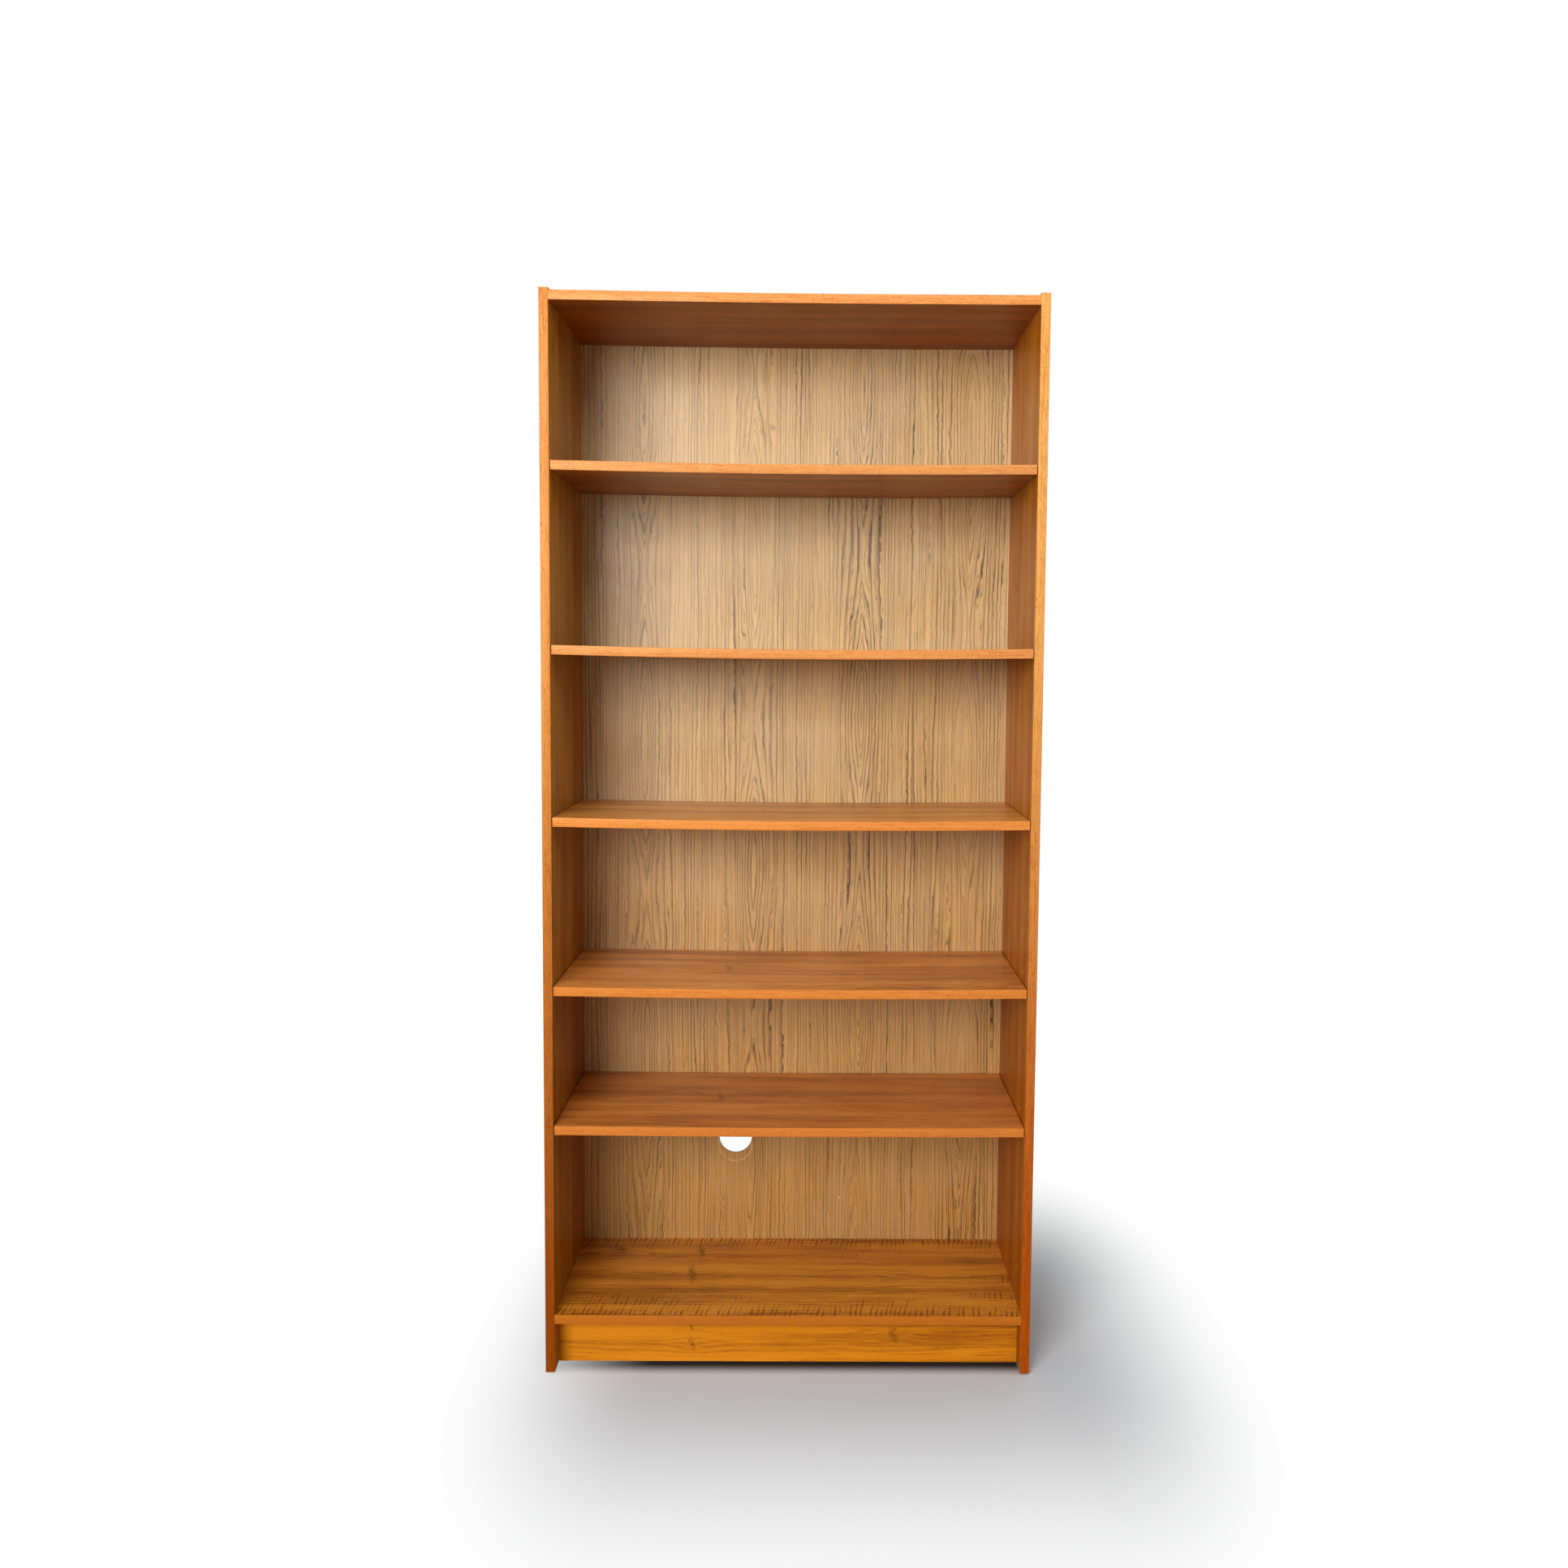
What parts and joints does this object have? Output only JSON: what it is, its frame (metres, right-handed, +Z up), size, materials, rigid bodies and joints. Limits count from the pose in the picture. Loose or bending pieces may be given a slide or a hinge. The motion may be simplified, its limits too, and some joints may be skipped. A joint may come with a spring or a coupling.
{
  "type": "bookcase",
  "caption": "Tall free-standing veneered bookcase with loose shelves on hidden pins, a set-back plinth and a printed back panel with a round cable hole.",
  "frame": {"origin": "on the floor under the middle of the case", "axes": "+Z up the case, -Y out of the open front, +X to the right seen from the front"},
  "size_m": [0.85, 0.295, 1.866],
  "materials": {
    "teak_veneer": "satin lacquer on reddish teak-like veneer",
    "veneer_edging": "satin lacquer on light teak-like veneer edging",
    "printed_hardboard": "satin printed wood grain",
    "pin_steel": "turned, bright",
    "zinc_fitting": "zinc plated",
    "beech_dowel": "raw beech",
    "pine_block": "raw pine",
    "glide_plastic": "matt brown"
  },
  "bodies": {
    "case": {"side_panel_left": "teak_veneer", "side_panel_right": "teak_veneer", "side_edging_left": "veneer_edging", "side_edging_right": "veneer_edging", "side_cap_left": "veneer_edging", "side_cap_right": "veneer_edging", "top_board": "teak_veneer", "top_edging": "veneer_edging", "bottom_board": "teak_veneer", "bottom_edging": "veneer_edging", "plinth_board": "teak_veneer", "back_panel": "printed_hardboard", "top_cam_housings": "zinc_fitting", "bottom_cam_housings": "zinc_fitting", "top_cam_bolts": "zinc_fitting", "bottom_cam_bolts": "zinc_fitting", "top_dowels": "beech_dowel", "bottom_dowels": "beech_dowel", "plinth_dowels": "beech_dowel", "plinth_blocks": "pine_block", "plinth_screws": "zinc_fitting", "back_panel_nails": "zinc_fitting", "floor_glides": "glide_plastic"},
    "shelf_1": {"shelf_1": "teak_veneer", "shelf_edging_1": "veneer_edging"},
    "shelf_2": {"shelf_2": "teak_veneer", "shelf_edging_2": "veneer_edging"},
    "shelf_3": {"shelf_3": "teak_veneer", "shelf_edging_3": "veneer_edging"},
    "shelf_4": {"shelf_4": "teak_veneer", "shelf_edging_4": "veneer_edging"},
    "shelf_5": {"shelf_5": "teak_veneer", "shelf_edging_5": "veneer_edging"},
    "pin_1_left_front": {"pin_1_left_front": "pin_steel"},
    "pin_1_left_rear": {"pin_1_left_rear": "pin_steel"},
    "pin_1_right_front": {"pin_1_right_front": "pin_steel"},
    "pin_1_right_rear": {"pin_1_right_rear": "pin_steel"},
    "pin_2_left_front": {"pin_2_left_front": "pin_steel"},
    "pin_2_left_rear": {"pin_2_left_rear": "pin_steel"},
    "pin_2_right_front": {"pin_2_right_front": "pin_steel"},
    "pin_2_right_rear": {"pin_2_right_rear": "pin_steel"},
    "pin_3_left_front": {"pin_3_left_front": "pin_steel"},
    "pin_3_left_rear": {"pin_3_left_rear": "pin_steel"},
    "pin_3_right_front": {"pin_3_right_front": "pin_steel"},
    "pin_3_right_rear": {"pin_3_right_rear": "pin_steel"},
    "pin_4_left_front": {"pin_4_left_front": "pin_steel"},
    "pin_4_left_rear": {"pin_4_left_rear": "pin_steel"},
    "pin_4_right_front": {"pin_4_right_front": "pin_steel"},
    "pin_4_right_rear": {"pin_4_right_rear": "pin_steel"},
    "pin_5_left_front": {"pin_5_left_front": "pin_steel"},
    "pin_5_left_rear": {"pin_5_left_rear": "pin_steel"},
    "pin_5_right_front": {"pin_5_right_front": "pin_steel"},
    "pin_5_right_rear": {"pin_5_right_rear": "pin_steel"}
  },
  "joints": [
    {"name": "lift_shelf_1", "type": "slide", "parent": "case", "child": "shelf_1", "axis": [0, 0, 1], "range_m": [0, 0.256]},
    {"name": "lift_shelf_2", "type": "slide", "parent": "case", "child": "shelf_2", "axis": [0, 0, 1], "range_m": [0, 0.286]},
    {"name": "lift_shelf_3", "type": "slide", "parent": "case", "child": "shelf_3", "axis": [0, 0, 1], "range_m": [0, 0.269]},
    {"name": "lift_shelf_4", "type": "slide", "parent": "case", "child": "shelf_4", "axis": [0, 0, 1], "range_m": [0, 0.27]},
    {"name": "lift_shelf_5", "type": "slide", "parent": "case", "child": "shelf_5", "axis": [0, 0, 1], "range_m": [0, 0.221]},
    {"name": "pull_pin_1_left_front", "type": "slide", "parent": "case", "child": "pin_1_left_front", "axis": [1, 0, 0], "range_m": [0, 0.009]},
    {"name": "pull_pin_1_left_rear", "type": "slide", "parent": "case", "child": "pin_1_left_rear", "axis": [1, 0, 0], "range_m": [0, 0.009]},
    {"name": "pull_pin_1_right_front", "type": "slide", "parent": "case", "child": "pin_1_right_front", "axis": [-1, 0, 0], "range_m": [0, 0.009]},
    {"name": "pull_pin_1_right_rear", "type": "slide", "parent": "case", "child": "pin_1_right_rear", "axis": [-1, 0, 0], "range_m": [0, 0.009]},
    {"name": "pull_pin_2_left_front", "type": "slide", "parent": "case", "child": "pin_2_left_front", "axis": [1, 0, 0], "range_m": [0, 0.009]},
    {"name": "pull_pin_2_left_rear", "type": "slide", "parent": "case", "child": "pin_2_left_rear", "axis": [1, 0, 0], "range_m": [0, 0.009]},
    {"name": "pull_pin_2_right_front", "type": "slide", "parent": "case", "child": "pin_2_right_front", "axis": [-1, 0, 0], "range_m": [0, 0.009]},
    {"name": "pull_pin_2_right_rear", "type": "slide", "parent": "case", "child": "pin_2_right_rear", "axis": [-1, 0, 0], "range_m": [0, 0.009]},
    {"name": "pull_pin_3_left_front", "type": "slide", "parent": "case", "child": "pin_3_left_front", "axis": [1, 0, 0], "range_m": [0, 0.009]},
    {"name": "pull_pin_3_left_rear", "type": "slide", "parent": "case", "child": "pin_3_left_rear", "axis": [1, 0, 0], "range_m": [0, 0.009]},
    {"name": "pull_pin_3_right_front", "type": "slide", "parent": "case", "child": "pin_3_right_front", "axis": [-1, 0, 0], "range_m": [0, 0.009]},
    {"name": "pull_pin_3_right_rear", "type": "slide", "parent": "case", "child": "pin_3_right_rear", "axis": [-1, 0, 0], "range_m": [0, 0.009]},
    {"name": "pull_pin_4_left_front", "type": "slide", "parent": "case", "child": "pin_4_left_front", "axis": [1, 0, 0], "range_m": [0, 0.009]},
    {"name": "pull_pin_4_left_rear", "type": "slide", "parent": "case", "child": "pin_4_left_rear", "axis": [1, 0, 0], "range_m": [0, 0.009]},
    {"name": "pull_pin_4_right_front", "type": "slide", "parent": "case", "child": "pin_4_right_front", "axis": [-1, 0, 0], "range_m": [0, 0.009]},
    {"name": "pull_pin_4_right_rear", "type": "slide", "parent": "case", "child": "pin_4_right_rear", "axis": [-1, 0, 0], "range_m": [0, 0.009]},
    {"name": "pull_pin_5_left_front", "type": "slide", "parent": "case", "child": "pin_5_left_front", "axis": [1, 0, 0], "range_m": [0, 0.009]},
    {"name": "pull_pin_5_left_rear", "type": "slide", "parent": "case", "child": "pin_5_left_rear", "axis": [1, 0, 0], "range_m": [0, 0.009]},
    {"name": "pull_pin_5_right_front", "type": "slide", "parent": "case", "child": "pin_5_right_front", "axis": [-1, 0, 0], "range_m": [0, 0.009]},
    {"name": "pull_pin_5_right_rear", "type": "slide", "parent": "case", "child": "pin_5_right_rear", "axis": [-1, 0, 0], "range_m": [0, 0.009]}
  ]
}
